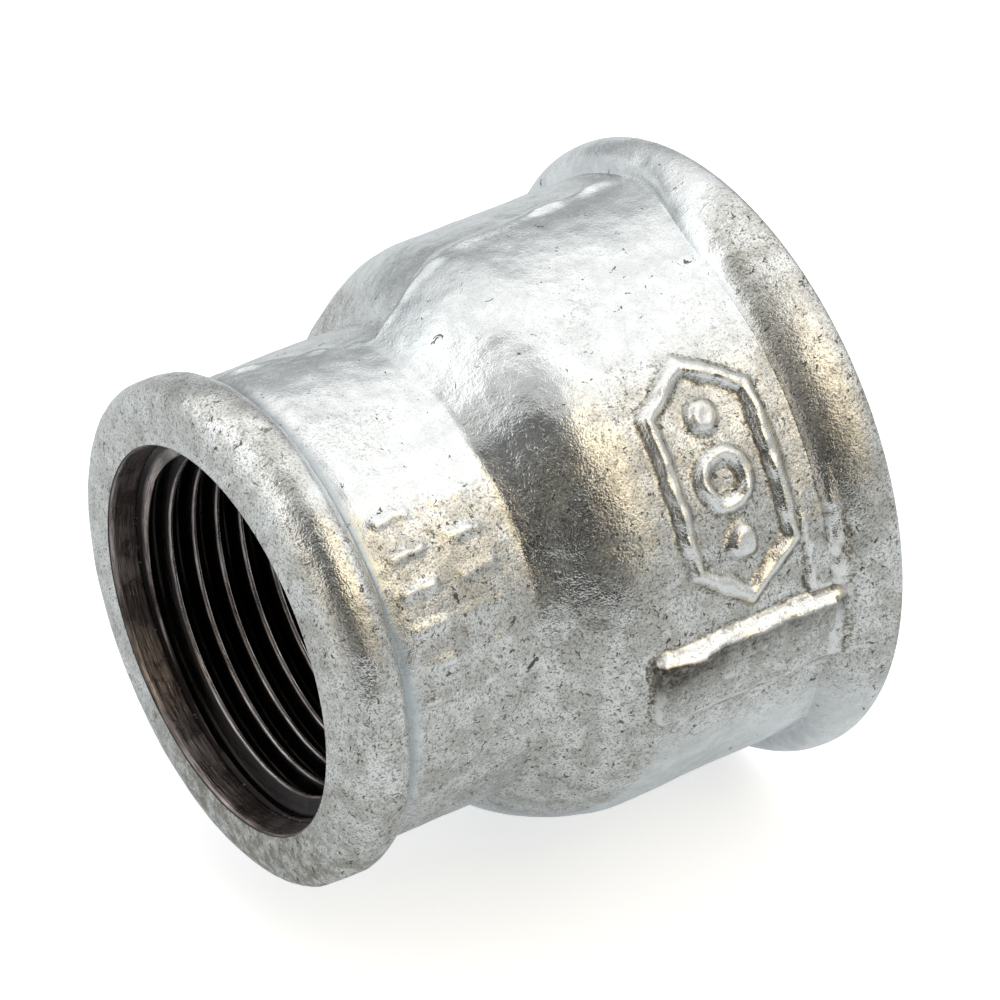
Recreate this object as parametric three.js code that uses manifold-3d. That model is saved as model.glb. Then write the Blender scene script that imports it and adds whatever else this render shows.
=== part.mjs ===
// Concentric reducer: a reducing pipe socket with a female thread at each end, 1 1/4 inch to 1 inch.
// It is one malleable iron casting, so the group holds one mesh.
// Millimetres. +X runs along the pipe axis from the small end to the large end, +Z is up, and the
// origin is on the axis, midway between the two end faces.

import {
  BufferAttribute,
  BufferGeometry,
  ExtrudeGeometry,
  Group,
  LatheGeometry,
  MathUtils,
  Matrix4,
  Mesh,
  MeshStandardMaterial,
  Path,
  Shape,
  Vector2,
} from "three";
import { mergeVertices } from "three/addons/utils/BufferGeometryUtils.js";
import Module from "manifold-3d";

const wasm = await Module();
wasm.setup();

// Driving dimensions. Distances called "from the face" run inwards from that end's own face.
const LENGTH = 50;
const PITCH = 2.309; // 11 threads to the inch at both ends
const SIDES = 48; // flats around every round surface
const FACE_ROUND = 1.0; // rounding between an end face and its bead

const SMALL = {
  face: -LENGTH / 2,
  inwards: 1,
  barrelRadius: 20.6,
  beadRadius: 22.3,
  beadCrest: 2.9,
  beadWidth: 5.9,
  mouthRadius: 17.0,
  mouthDepth: 2.6,
  threadCrestRadius: 30.291 / 2,
  threadRootRadius: 33.249 / 2,
  threadTurns: 7,
};

const LARGE = {
  face: LENGTH / 2,
  inwards: -1,
  barrelRadius: 25.7,
  beadRadius: 28.3,
  beadCrest: 1.6,
  beadWidth: 5.4,
  mouthRadius: 21.4,
  mouthDepth: 2.6,
  threadCrestRadius: 38.952 / 2,
  threadRootRadius: 41.91 / 2,
  threadTurns: 7.5,
};

// The waist is the swelling between the two barrels: a sharp inner corner, then a long round shoulder.
const WAIST = { start: 18.2, shoulder: 21.5, end: 29.0, shoulderRadius: 23.5, roundness: 3.5 };

const BORE_RELIEF = 0.4; // step from each thread's root out to the plain wall between the threads

// Angles are in degrees about +X by the right-hand rule, from the -Y side, so -90 is the top.
const RIB = { angles: [2, -178], start: 26, end: 46, halfWidth: 3.8, top: 26.7, foot: 23.6, corner: 1.5 };
const FLASH = { angle: -108, halfWidth: 0.7, proud: 0.25, start: 7, end: 45 };
const SIZE_BAR = { from: -33, to: -4, start: 41.9, end: 45.6, top: 26.25, foot: 24.6 };
const GROUND_FLAT = { angle: 47, depth: 0.3, width: 12, reach: 4 };
const MARK = {
  centre: 36,
  angle: -34.5,
  height: 0.6,
  foot: 1.2,
  halfWidth: 5.6,
  halfHeight: 10.8,
  shoulder: 6.6,
  line: 1.5,
  step: 1.4,
  ring: { outer: 2.75, inner: 1.35 },
  pip: { radius: 1.45, offset: 5.4 },
};

// --- helpers ---------------------------------------------------------------------------------------

// The x of a point a given distance in from an end's face.
const inFrom = (end, distance) => end.face + end.inwards * distance;

// The x of a station measured from the small end's face.
const station = (distance) => SMALL.face + distance;

// A closed geometry as a solid that can be joined and cut.
function solid(geometry) {
  const bare = geometry.index ? geometry.toNonIndexed() : geometry.clone();
  bare.deleteAttribute("normal");
  bare.deleteAttribute("uv");
  const merged = mergeVertices(bare, 1e-4);
  const corners = merged.index.array;
  const kept = [];
  for (let i = 0; i < corners.length; i += 3) {
    const [a, b, c] = [corners[i], corners[i + 1], corners[i + 2]];
    if (a !== b && b !== c && c !== a) kept.push(a, b, c);
  }
  const mesh = new wasm.Mesh({
    numProp: 3,
    vertProperties: new Float32Array(merged.attributes.position.array),
    triVerts: new Uint32Array(kept),
  });
  return new wasm.Manifold(mesh);
}

// A solid back as a three.js geometry.
function geometryOf(made) {
  const mesh = made.getMesh();
  const geometry = new BufferGeometry();
  geometry.setAttribute("position", new BufferAttribute(mesh.vertProperties, 3));
  geometry.setIndex(new BufferAttribute(mesh.triVerts, 1));
  geometry.computeVertexNormals();
  return geometry;
}

// Moves a geometry to an angle around the pipe.
// Drawn +X goes outwards at that angle, drawn +Y goes along the rising angle, drawn +Z goes along +X.
function placeAround(geometry, angle) {
  const turn = MathUtils.degToRad(angle);
  const cos = Math.cos(turn);
  const sin = Math.sin(turn);
  const place = new Matrix4().set(
    0, 0, 1, 0,
    -cos, sin, 0, 0,
    -sin, -cos, 0, 0,
    0, 0, 0, 1,
  );
  return geometry.applyMatrix4(place);
}

// A rectangle from one corner to the other with its corners rounded.
function roundedRectangle(left, bottom, right, top, radius) {
  const shape = new Shape();
  shape.moveTo(left + radius, bottom);
  shape.lineTo(right - radius, bottom);
  shape.quadraticCurveTo(right, bottom, right, bottom + radius);
  shape.lineTo(right, top - radius);
  shape.quadraticCurveTo(right, top, right - radius, top);
  shape.lineTo(left + radius, top);
  shape.quadraticCurveTo(left, top, left, top - radius);
  shape.lineTo(left, bottom + radius);
  shape.quadraticCurveTo(left, bottom, left + radius, bottom);
  return shape;
}

// --- the turned outline ----------------------------------------------------------------------------
// Outline points are (radius, x).

// The outside from the large end's face to the small end's, set out by a given distance.
function outside(proud) {
  const path = new Path();
  const smallRadius = SMALL.barrelRadius + proud;
  const largeRadius = LARGE.barrelRadius + proud;
  path.moveTo(LARGE.beadRadius - FACE_ROUND, LARGE.face);
  path.quadraticCurveTo(LARGE.beadRadius, LARGE.face, LARGE.beadRadius, inFrom(LARGE, LARGE.beadCrest));
  path.bezierCurveTo(
    LARGE.beadRadius, inFrom(LARGE, LARGE.beadCrest + 2.2),
    largeRadius + 1.3, inFrom(LARGE, LARGE.beadWidth - 0.2),
    largeRadius, inFrom(LARGE, LARGE.beadWidth),
  );
  path.lineTo(largeRadius, station(WAIST.end));
  path.quadraticCurveTo(
    largeRadius, station(WAIST.end - WAIST.roundness),
    WAIST.shoulderRadius + proud, station(WAIST.shoulder),
  );
  path.lineTo(smallRadius, station(WAIST.start));
  path.lineTo(smallRadius, inFrom(SMALL, SMALL.beadWidth));
  path.bezierCurveTo(
    smallRadius + 1.0, inFrom(SMALL, SMALL.beadWidth - 0.3),
    SMALL.beadRadius, inFrom(SMALL, SMALL.beadCrest + 1.6),
    SMALL.beadRadius, inFrom(SMALL, SMALL.beadCrest),
  );
  path.quadraticCurveTo(
    SMALL.beadRadius, inFrom(SMALL, FACE_ROUND),
    SMALL.beadRadius - 1.9, SMALL.face,
  );
  return path.getPoints(5);
}

// The rings of one thread, crest and root by turns, with one turn to spare for the helix.
function threadRings(end) {
  const start = Math.min(inFrom(end, end.mouthDepth), inFrom(end, end.mouthDepth + threadLength(end)));
  const rings = [];
  for (let half = -2; half <= 2 * end.threadTurns; half += 1) {
    rings.push({ end, start, half });
  }
  return rings;
}

function threadLength(end) {
  return end.threadTurns * PITCH;
}

// Where one thread ring is at one fraction of a turn. Right-hand: it advances along +X as it turns
// by the right-hand rule about +X. Past either end of the thread the groove is cut off square.
function ringPoint(ring, turn) {
  const wanted = ring.start + PITCH * (ring.half / 2 + turn);
  const x = MathUtils.clamp(wanted, ring.start, ring.start + threadLength(ring.end));
  const phase = MathUtils.euclideanModulo((x - ring.start) / PITCH - turn, 1);
  const depth = 1 - Math.abs(1 - 2 * phase);
  const radius = MathUtils.lerp(ring.end.threadCrestRadius, ring.end.threadRootRadius, depth);
  return new Vector2(radius, x);
}

// The whole body as one turned solid, whose thread rings are then drawn out into helices.
function threadedBody() {
  const smallThreadEnd = inFrom(SMALL, SMALL.mouthDepth + threadLength(SMALL));
  const largeThreadEnd = inFrom(LARGE, LARGE.mouthDepth + threadLength(LARGE));
  const smallRelief = SMALL.threadRootRadius + BORE_RELIEF;
  const largeRelief = LARGE.threadRootRadius + BORE_RELIEF;
  const smallRings = threadRings(SMALL);
  const largeRings = threadRings(LARGE);
  const stations = [
    new Vector2(SMALL.mouthRadius, SMALL.face),
    new Vector2(SMALL.mouthRadius - 0.1, inFrom(SMALL, SMALL.mouthDepth)),
    ...smallRings,
    new Vector2(smallRelief, smallThreadEnd),
    new Vector2(smallRelief, smallThreadEnd + 1.6),
    new Vector2(largeRelief, largeThreadEnd - 4.2),
    new Vector2(largeRelief, largeThreadEnd),
    ...largeRings,
    new Vector2(LARGE.mouthRadius - 0.1, inFrom(LARGE, LARGE.mouthDepth)),
    new Vector2(LARGE.mouthRadius, LARGE.face),
    ...outside(0),
  ];
  stations.push(stations[0]);
  stations.reverse();
  const at = (item, turn) => (item.isVector2 ? item : ringPoint(item, turn));
  const geometry = new LatheGeometry(stations.map((item) => at(item, 0)), SIDES);
  const position = geometry.attributes.position;
  for (let side = 0; side <= SIDES; side += 1) {
    const turn = side / SIDES;
    const angle = 2 * Math.PI * turn;
    stations.forEach((item, row) => {
      const point = at(item, turn);
      const index = side * stations.length + row;
      position.setXYZ(index, point.x * Math.sin(angle), point.y, point.x * Math.cos(angle));
    });
  }
  return solid(geometry.rotateZ(-Math.PI / 2));
}

// --- what is cast on the outside -------------------------------------------------------------------

// A grip rib: a low flat-topped pad along the large barrel, running into the bead.
function gripRib(angle) {
  const plan = roundedRectangle(
    -station(RIB.end), -RIB.halfWidth, -station(RIB.start), RIB.halfWidth, RIB.corner,
  );
  const rib = new ExtrudeGeometry(plan, { depth: RIB.top - RIB.foot, bevelEnabled: false, curveSegments: 3 });
  rib.translate(0, 0, RIB.foot).rotateY(Math.PI / 2);
  return solid(placeAround(rib, angle));
}

// A raised bar around the large barrel, beside the bead, that starts at a grip rib.
function sizeBar() {
  const from = MathUtils.degToRad(SIZE_BAR.from);
  const to = MathUtils.degToRad(SIZE_BAR.to);
  const section = new Shape();
  section.absarc(0, 0, SIZE_BAR.top, from, to, false);
  section.absarc(0, 0, SIZE_BAR.foot, to, from, true);
  const depth = SIZE_BAR.end - SIZE_BAR.start;
  const bar = new ExtrudeGeometry(section, { depth, bevelEnabled: false, curveSegments: 4 });
  return solid(placeAround(bar.translate(0, 0, station(SIZE_BAR.start)), 0));
}

// The mould's flash line: a low narrow ridge down both sides in one plane through the axis.
function flashLine() {
  const skin = outside(FLASH.proud);
  const core = new LatheGeometry(
    [new Vector2(0, LARGE.face), ...skin, new Vector2(0, SMALL.face)].reverse(), SIDES,
  );
  const width = 2 * FLASH.halfWidth;
  const reach = 2 * LARGE.beadRadius;
  const outline = new Shape();
  outline.moveTo(-reach / 2, -width / 2);
  outline.lineTo(reach / 2, -width / 2);
  outline.lineTo(reach / 2, width / 2);
  outline.lineTo(-reach / 2, width / 2);
  const plate = new ExtrudeGeometry(outline, { depth: FLASH.end - FLASH.start, bevelEnabled: false });
  plate.translate(0, 0, station(FLASH.start));
  const bore = new LatheGeometry(boreCore(), SIDES);
  return solid(core.rotateZ(-Math.PI / 2))
    .intersect(solid(placeAround(plate, FLASH.angle)))
    .subtract(solid(bore.rotateZ(-Math.PI / 2)));
}

// A plain core that clears both threads and stays inside the wall.
function boreCore() {
  const smallWall = (SMALL.threadRootRadius + SMALL.barrelRadius) / 2;
  const largeWall = (LARGE.threadRootRadius + LARGE.barrelRadius) / 2;
  return [
    new Vector2(0, SMALL.face - 1),
    new Vector2(smallWall, SMALL.face - 1),
    new Vector2(smallWall, station(WAIST.start + 1)),
    new Vector2(largeWall, station(WAIST.end)),
    new Vector2(largeWall, LARGE.face + 1),
    new Vector2(0, LARGE.face + 1),
  ];
}

// The block that is cut from the small bead to leave a short ground flat on it.
function groundFlat() {
  const half = GROUND_FLAT.width / 2;
  const low = SMALL.beadRadius - GROUND_FLAT.depth;
  const high = SMALL.beadRadius + GROUND_FLAT.reach;
  const outline = new Shape();
  outline.moveTo(low, -half);
  outline.lineTo(high, -half);
  outline.lineTo(high, half);
  outline.lineTo(low, half);
  const block = new ExtrudeGeometry(outline, { depth: SMALL.beadWidth + 2, bevelEnabled: false });
  return solid(placeAround(block.translate(0, 0, station(-1)), GROUND_FLAT.angle));
}

// Points along the straight sides of an outline, no further apart than the mark's step.
function stepped(corners) {
  const points = [];
  corners.forEach((corner, i) => {
    const next = corners[(i + 1) % corners.length];
    const steps = Math.ceil(corner.distanceTo(next) / MARK.step);
    for (let k = 0; k < steps; k += 1) {
      points.push(corner.clone().lerp(next, k / steps));
    }
  });
  return points;
}

// A drawn shape, raised on the large barrel. Drawn x runs back along the axis, and y around the barrel.
function raised(shape) {
  const depth = MARK.height + MARK.foot;
  const geometry = new ExtrudeGeometry(shape, { depth, bevelEnabled: false, curveSegments: 4 });
  const position = geometry.attributes.position;
  const foot = LARGE.barrelRadius - MARK.foot;
  for (let i = 0; i < position.count; i += 1) {
    const around = position.getY(i) / LARGE.barrelRadius;
    const radius = foot + position.getZ(i);
    position.setXYZ(i, radius * Math.cos(around), radius * Math.sin(around), -position.getX(i));
  }
  return solid(placeAround(geometry.translate(0, 0, station(MARK.centre)), MARK.angle));
}

// A long hexagon, pointed at both ends.
function hexagon(halfWidth, halfHeight) {
  const shoulder = MARK.shoulder * (halfHeight / MARK.halfHeight);
  return stepped([
    new Vector2(-halfWidth, -shoulder),
    new Vector2(0, -halfHeight),
    new Vector2(halfWidth, -shoulder),
    new Vector2(halfWidth, shoulder),
    new Vector2(0, halfHeight),
    new Vector2(-halfWidth, shoulder),
  ]);
}

// A disc of a given radius, so far around the barrel from the mark's middle.
function disc(radius, offset) {
  const shape = new Shape();
  shape.absarc(0, offset, radius, 0, 2 * Math.PI, false);
  return shape;
}

// A plain foundry mark: a long hexagonal frame around a ring between two pips.
function foundryMark() {
  const frame = new Shape(hexagon(MARK.halfWidth, MARK.halfHeight));
  frame.holes.push(new Path(hexagon(MARK.halfWidth - MARK.line, MARK.halfHeight - MARK.line)));
  const ring = disc(MARK.ring.outer, 0);
  ring.holes.push(disc(MARK.ring.inner, 0));
  const pips = [-MARK.pip.offset, MARK.pip.offset].map((offset) => disc(MARK.pip.radius, offset));
  return [frame, ring, ...pips].map(raised);
}

// --- the casting -----------------------------------------------------------------------------------

function reducerBody() {
  const additions = [
    ...RIB.angles.map(gripRib),
    sizeBar(),
    flashLine(),
    ...foundryMark(),
  ];
  const cast = additions.reduce((whole, piece) => whole.add(piece), threadedBody());
  return cast.subtract(groundFlat());
}

const galvanisedIron = new MeshStandardMaterial({
  name: "galvanised_iron",
  color: 0xb9bdbf,
  roughness: 0.42,
  metalness: 0.9,
});

const body = new Mesh(geometryOf(reducerBody()), galvanisedIron);
body.name = "reducer_body";

const reducer = new Group();
reducer.name = "concentric_reducer";
reducer.add(body);

export default reducer;
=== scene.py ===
"""Looks of the concentric reducer: a galvanised malleable iron casting, threaded at both ends.

Lengths inside this script are millimetres until a mesh is made, and metres after that. The pipe
axis is X, from the small end to the large end. Angles are degrees about +X by the right-hand rule,
from the -Y side, so -90 is the top. A station is a distance from the small end's face. A pair
called a rise or a fall gives two values between which something eases from 0 to 1 or from 1 to 0.
"""

import math

import bmesh
import bpy
import numpy as np
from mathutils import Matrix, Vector


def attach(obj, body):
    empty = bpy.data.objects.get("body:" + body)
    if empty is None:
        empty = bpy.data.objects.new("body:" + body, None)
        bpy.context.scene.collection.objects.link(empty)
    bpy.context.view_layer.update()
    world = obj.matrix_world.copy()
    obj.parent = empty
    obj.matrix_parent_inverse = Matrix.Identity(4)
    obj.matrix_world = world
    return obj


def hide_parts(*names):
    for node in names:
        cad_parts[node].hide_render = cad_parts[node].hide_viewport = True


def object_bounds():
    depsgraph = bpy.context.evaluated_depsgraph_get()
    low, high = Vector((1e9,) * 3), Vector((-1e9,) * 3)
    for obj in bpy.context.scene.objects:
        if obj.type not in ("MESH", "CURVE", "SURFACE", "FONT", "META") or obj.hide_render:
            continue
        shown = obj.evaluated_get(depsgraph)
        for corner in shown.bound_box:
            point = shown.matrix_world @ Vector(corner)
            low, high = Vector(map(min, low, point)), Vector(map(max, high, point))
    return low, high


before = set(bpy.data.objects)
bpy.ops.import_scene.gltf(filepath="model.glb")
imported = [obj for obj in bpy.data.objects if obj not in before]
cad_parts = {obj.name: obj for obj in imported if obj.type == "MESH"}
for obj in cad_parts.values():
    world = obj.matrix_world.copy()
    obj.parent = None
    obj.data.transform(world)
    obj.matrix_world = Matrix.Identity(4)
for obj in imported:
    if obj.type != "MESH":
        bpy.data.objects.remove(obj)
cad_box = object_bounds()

MM = 0.001
CAD_NODE = "reducer_body"

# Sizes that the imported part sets.
LENGTH = (cad_box[1].x - cad_box[0].x) / MM
SMALL_FACE_X = cad_box[0].x / MM
FLOOR_Z = cad_box[0].z

# The camera's place and target, in the part's frame, and its lens.
CAMERA_PLACE = (-165.1, -246.63, 219.92)
CAMERA_TARGET = (3.374, -0.225, 2.982)
CAMERA_LENS = 156.73
CAMERA_SENSOR = 36.0
CAMERA_CLIPS = (0.01, 20.0)  # metres

# Mesh density.
COLUMNS = 720
ROW_STEP = 0.21
BEAD_POINTS = 40
WAIST_POINTS = 60
INSIDE_ROWS = dict(large_mouth=7, large_straight=9, taper=16, small_straight=4, small_mouth=9)
SMOOTH_ROWS = 2  # of the core, beside each thread
SAME_POINT = 1e-9

# --- the outside, turned --------------------------------------------------------------------------

SMALL_BARREL = 20.6
SMALL_BEAD = 22.25
SMALL_BEAD_END = 5.9
SMALL_GROOVE = dict(station=6.15, depth=0.34, half_width=0.75)
WAIST_START = 18.15
WAIST_END = 29.0
WAIST_STEEP = 1.4  # the slope that the waist's curve would take below the small barrel
LARGE_BARREL = 25.64
LARGE_BARREL_END = 25.75
LARGE_BEAD = 28.2
WIDEST = 28.28
LARGE_CORNER_START = 49.5
LARGE_FACE_EDGE = 27.75
CORNER_SOFTNESS = 0.16
END_HOLD = (0.0, 1.2)  # how near the outline's ends its corners stay sharp
END_FADE = (0.0, 1.0)  # how near the outline's ends its height over the turned shape fades out
PLAIN_WAIST = dict(start=WAIST_START, power=0.9, fillet=0.5)
WAIST_REACH = 5.0  # how far ahead of WAIST_START the waist's fillet may reach

# The beads are full on the far side and worn rounder on the near side, between the middle two of
# these angles.
FULL_BEADS = dict(face_edge=17.9, small_crest=2.87, small_power=3.4,
                  large_start=46.8, large_crest=49.2, large_power=2.3)
WORN_BEADS = dict(face_edge=17.3, small_crest=3.9, small_power=2.0,
                  large_start=44.1, large_crest=48.5, large_power=1.45)
WORN_ANGLES = (-105.0, -75.0, 15.0, 52.0)

# The waist isn't the same all round. For each half of the mould: angles, and at each one the
# station where the waist starts, the power of its curve (less is steeper) and its fillet.
NEAR_WAIST = dict(centre=0.0, angles=(-105.0, -30.0, 20.0, 60.0), start=(19.3, 19.6, 18.8, 18.15),
                  power=(0.77, 0.98, 0.80, 0.64), fillet=(2.0, 1.4, 0.7, 0.4))
FAR_WAIST = dict(centre=180.0, angles=(-104.0, 0.0, 40.0, 75.0), start=(18.3, 19.3, 21.6, 21.5),
                 power=(0.69, 0.66, 0.72, 0.78), fillet=(0.4, 0.5, 0.5, 0.9))
HALVES_BLEND = 0.6  # millimetres each side of the joint over which one half becomes the other

# --- the inside -----------------------------------------------------------------------------------

PITCH = 25.4 / 11
MOUTH_CHAMFER = 0.2
MOUTH_RIM = 0.7  # length of a mouth's straight rim, before it narrows towards the thread
SMALL_BORE = dict(mouth=17.0, throat=16.85, depth=2.6, crest=15.146, root=16.624, turns=7.0,
                  phase=0.55)
LARGE_BORE = dict(mouth=21.4, throat=21.3, depth=2.6, crest=19.476, root=20.955, turns=7.5,
                  phase=0.3)
RELIEF = 0.35
# The cored middle: a straight part beside the large thread, a taper and a straight part beside the
# small thread. These are distances from the threads' ends, and the radius where the taper starts.
CORE = dict(large_straight=3.0, taper_start=3.8, taper_radius=20.9, taper_end=1.6,
            small_straight=1.2)
RUN_IN = 0.75  # the length of the cone that leads into a thread
CREST_HALF = 0.05  # half width of a thread's crest, in pitches
FLANK = 0.333  # width of a thread's flank, in pitches
FLANK_ROUND = 0.03  # how far a flank's curve runs on into the crest and the root, in pitches
# A thread's rows, at these fractions of each pitch: closest where its crest is rounded.
THREAD_STEPS = np.array([0.0, 0.04, 0.065, 0.11, 0.17, 0.24, 0.31, 0.38, 0.44, 0.5,
                         0.56, 0.62, 0.69, 0.76, 0.83, 0.89, 0.935, 0.96])
# How light the cut metal is painted. A painted highlight lies over a thread's crest, to a share of
# its depth, where no cone has cut the crest away, and on the cones that lead into it. Roots get
# painted shade, and the cored middle is painted darker than the mouths.
MOUTH_PAINTED_LIGHT, LEAD_IN_PAINTED_LIGHT, CORE_PAINTED_LIGHT = 0.45, 0.5, 0.16
CREST_FALL, CREST_CUT_FALL = (0.07, 0.0), (0.25, 0.0)
LEAD_IN_RISE, LEAD_IN_FROM_END = (0.0, 0.3), (0.1, 0.45)


def smooth(low, high, value):
    """0 below low, 1 above high, eased between."""
    t = np.clip((value - low) / (high - low), 0.0, 1.0)
    return t * t * (3.0 - 2.0 * t)


def bell(offset, width):
    """1 at no offset, falling to nothing over a few widths each side."""
    return np.exp(-0.5 * (offset / width) ** 2)


def bead_curve(start, end, rises, power=2.0):
    """A quarter superellipse between two (station, radius) points, flat at its higher radius."""
    u = np.linspace(0.0, math.pi / 2, BEAD_POINTS)
    flat = np.sin(u) ** (2 / power)
    steep = 1 - np.cos(u) ** (2 / power)
    across, up = (steep, flat) if rises else (flat, steep)
    return np.column_stack([
        start[0] + (end[0] - start[0]) * across,
        start[1] + (end[1] - start[1]) * up,
    ])


def waist_radii(stations, start, power, fillet):
    """The swelling between the barrels: a filleted inner corner, then a long round shoulder."""
    share = np.clip((stations - start) / (WAIST_END - start), 0.0, 1.0)
    swell = (LARGE_BARREL - SMALL_BARREL) * np.sin(math.pi / 2 * share) ** power
    over = swell - WAIST_STEEP * np.maximum(start - stations, 0.0)
    fill = fillet / 4 * np.maximum(1 - np.abs(over) / fillet, 0.0) ** 2
    return SMALL_BARREL + np.maximum(over, 0.0) + fill


def waist():
    """(station, radius) along a plain middling waist, which sets how the mesh's rows lie."""
    stations = np.linspace(WAIST_START, WAIST_END, WAIST_POINTS)
    return np.column_stack([stations, waist_radii(stations, **PLAIN_WAIST)])


def outside_outline(face_edge, small_crest, small_power, large_start, large_crest, large_power):
    """(station, radius) from the small mouth's edge over the outside to the large mouth's edge."""
    pieces = [
        [(0.0, SMALL_BORE["mouth"] + MOUTH_CHAMFER), (0.0, face_edge)],
        bead_curve((0.0, face_edge), (small_crest, SMALL_BEAD), True, small_power),
        bead_curve((small_crest, SMALL_BEAD), (SMALL_BEAD_END, SMALL_BARREL), False),
        [(SMALL_BEAD_END, SMALL_BARREL), (WAIST_START, SMALL_BARREL)],
        waist(),
        [(WAIST_END, LARGE_BARREL), (large_start, LARGE_BARREL_END)],
        bead_curve((large_start, LARGE_BARREL_END), (large_crest, LARGE_BEAD), True, large_power),
        [(large_crest, LARGE_BEAD), (LARGE_CORNER_START, LARGE_BEAD)],
        bead_curve((LARGE_CORNER_START, LARGE_BEAD), (LENGTH, LARGE_FACE_EDGE), False),
        [(LENGTH, LARGE_FACE_EDGE), (LENGTH, LARGE_BORE["mouth"] + MOUTH_CHAMFER)],
    ]
    return np.concatenate([np.asarray(piece, float) for piece in pieces])


def even_rows(outline, companion, step):
    """The outline again at even distances along itself, and its companion's matching points."""
    gaps = np.hypot(*np.diff(outline, axis=0).T)
    along = np.concatenate([[0.0], np.cumsum(gaps)])
    keep = np.concatenate([[True], gaps > SAME_POINT])
    count = int(round(along[-1] / step)) + 1
    at = np.linspace(0.0, along[-1], count)
    return [
        np.column_stack([np.interp(at, along[keep], line[keep, k]) for k in (0, 1)])
        for line in (outline, companion)
    ]


def rows_from_ends(count, step):
    """How far each of a number of rows is from the nearer end."""
    row = np.arange(count)
    return np.minimum(row, row[::-1]) * step


def soften(rows, step, width):
    """Rounds the outline's corners over about width, leaving its two ends in place."""
    reach = int(4 * width / step)
    weights = bell(np.arange(-reach, reach + 1) * step, width)
    weights /= weights.sum()
    padded = np.pad(rows, ((reach, reach), (0, 0)), mode="edge")
    soft = np.column_stack([np.convolve(padded[:, k], weights, mode="valid") for k in (0, 1)])
    hold = smooth(*END_HOLD, rows_from_ends(len(rows), step))
    return rows + (soft - rows) * hold[:, None]


# --- noise on the casting -------------------------------------------------------------------------

NOISE_TABLE = 512
NOISE_SHIFT = 37.0  # in cells, which keeps the number of every cell positive
NOISE_GAIN = 1.7  # brings gradient noise to about -1 to 1

# Lumps of the cast and cored skins, as (size, height) pairs.
CAST_LUMPS = dict(sizes=((14.0, 0.10), (5.0, 0.07), (2.2, 0.045), (0.9, 0.022)), seed=21)
CORE_LUMPS = dict(sizes=((4.0, 0.12), (1.5, 0.06)), seed=51)

# How the edges of what is cast on wander, and how its height varies.
STATION_WANDER = dict(size=1.8, reach=0.20, seed=11)
ANGLE_WANDER = dict(size=1.8, reach=0.42, seed=12)
TALLY_WEAR = dict(size=3.0, reach=0.9, seed=13)
RELIEF_WEAR = dict(size=1.6, reach=0.30, seed=14)
FLASH_WEAR = dict(size=2.6, reach=1.0, seed=15)


def lattice_noise(points, size, seed):
    """Smooth noise in space, about -1 to 1, with lumps of about the given size."""
    dice = np.random.default_rng(seed)
    table = dice.permutation(NOISE_TABLE)
    slopes = dice.normal(size=(NOISE_TABLE, 3))
    slopes /= np.linalg.norm(slopes, axis=1, keepdims=True)
    scaled = points / size + NOISE_SHIFT
    cell = np.floor(scaled).astype(int)
    part = scaled - cell
    ease = part * part * part * (part * (part * 6 - 15) + 10)
    total = np.zeros(len(points))
    for corner in np.ndindex(2, 2, 2):
        at = cell + corner
        pick = table[at[:, 0] % NOISE_TABLE]
        for axis in (1, 2):
            pick = table[(pick + at[:, axis]) % NOISE_TABLE]
        share = np.prod(np.where(corner, ease, 1 - ease), axis=1)
        total += share * np.einsum("ij,ij->i", slopes[pick], part - corner)
    return total * NOISE_GAIN


def lumps(points, sizes, seed):
    """Several sizes of noise added up, each with a seed of its own."""
    return sum(
        height * lattice_noise(points, size, seed + k) for k, (size, height) in enumerate(sizes)
    )


# --- what is cast on the outside ------------------------------------------------------------------
# Each function gives a height in millimetres over the barrel, from stations and angles.

EDGE = 0.34  # how far a cast edge takes to rise

# A rib's wall and slope are the widths of its steep side and of its falling face. A share with
# limits is how much height is left where something is worn.
RIBS = dict(angles=(-5.2, 174.8), start=26.2, end=45.0, tall=1.4, low=0.40, wall=1.05,
            wall_power=0.9, slope=6.4, slope_power=0.8, foot=0.5, corner=1.6, edge=0.1)
SIZE_BAR = dict(start=41.7, end=45.0, tall=0.55, rise=(-33.0, -19.0), fall=(-7.0, -8.0))
MARK = dict(station=36.0, angle=-34.5, half_width=5.6, half_height=10.8, shoulder=6.6, line=1.5,
            tall=0.72, edge=1.05, thinner=0.15)
MARK_RING = dict(radius=2.05, line=1.4)
MARK_PIPS = dict(offset=5.4, radius=1.45)
TALLY = dict(stations=(9.4, 14.8), angle=-31.0, strokes=6, gap=3.1, length=3.4, width=1.0,
             corner=0.45, edge=0.9, tall=0.24, share=0.7, limits=(0.1, 1.2))
GROUND_FLAT = dict(angle=47.0, depth=0.26, end=6.0, least_cosine=0.9)

# The joint of the mould: its angle at a few stations on the upper side, and half a turn round.
JOINT_STATIONS = (6.0, 13.0, 19.0, 28.0, 44.0)
JOINT_ANGLES = (-118.0, -111.0, -103.5, -104.5, -108.0)
FLASH = dict(tall=0.27, half_width=0.48, rise=(5.6, 6.8), fall=(46.0, 44.6), share=0.9,
             limits=(0.1, 1.6))

# What is cast on fades in over BARREL_EDGE from each face, and FACE_LUMPS of the skin's lumps is
# left on the faces. BEAD_LUMPS says how much of them the large bead's crest loses.
BARREL_EDGE = (0.2, 1.2)
FACE_LUMPS = 0.25
BEAD_LUMPS = dict(rise=(LARGE_BEAD - 0.9, LARGE_BEAD - 0.1), taken=0.85)
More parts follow.
